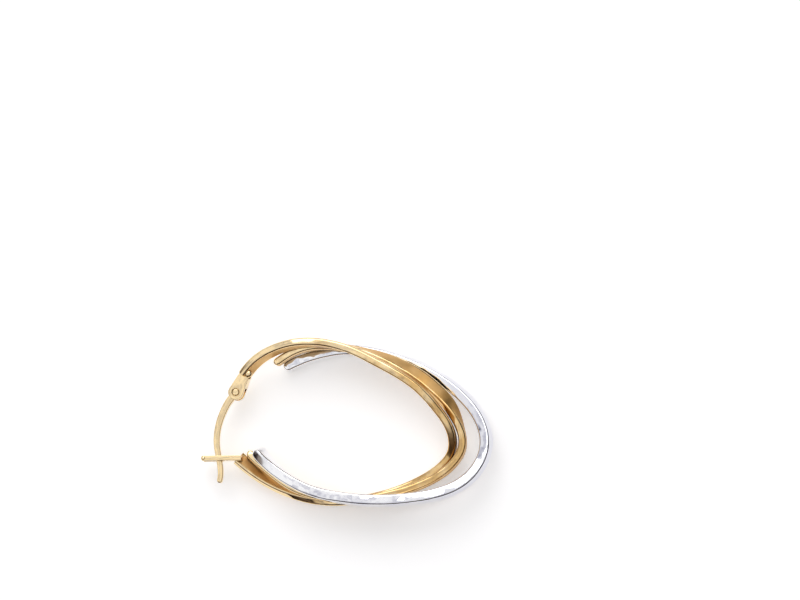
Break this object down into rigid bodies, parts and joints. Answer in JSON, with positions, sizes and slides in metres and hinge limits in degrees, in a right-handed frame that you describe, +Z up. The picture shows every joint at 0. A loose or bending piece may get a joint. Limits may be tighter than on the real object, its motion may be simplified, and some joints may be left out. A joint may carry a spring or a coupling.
{
  "type": "hoop earring",
  "caption": "Oval hoop earring of twisting yellow and white metal tubes, open at one end, closed by a hinged flat ear post that snaps into a forked catch.",
  "frame": {"origin": "on the ground under the middle of the earring, which lies flat", "axes": "+X along the oval, away from the ear post towards the closed end; +Y towards the hinge; +Z up"},
  "size_m": [0.0322, 0.0186, 0.0052],
  "materials": {
    "yellow_gold": "mirror-polished pale yellow gold",
    "white_gold": "mirror-polished white metal"
  },
  "bodies": {
    "hoop": {"carrier_strand": "yellow_gold", "middle_strand": "yellow_gold", "white_strand": "white_gold", "hinge_pin": "yellow_gold"},
    "post": {"ear_post": "yellow_gold"}
  },
  "joints": [
    {"name": "post_swing", "type": "hinge", "parent": "hoop", "child": "post", "pos_m": [-0.0136, 0.00143, 0.00261], "axis": [0, 0, -1], "range_deg": [0, 70]}
  ]
}
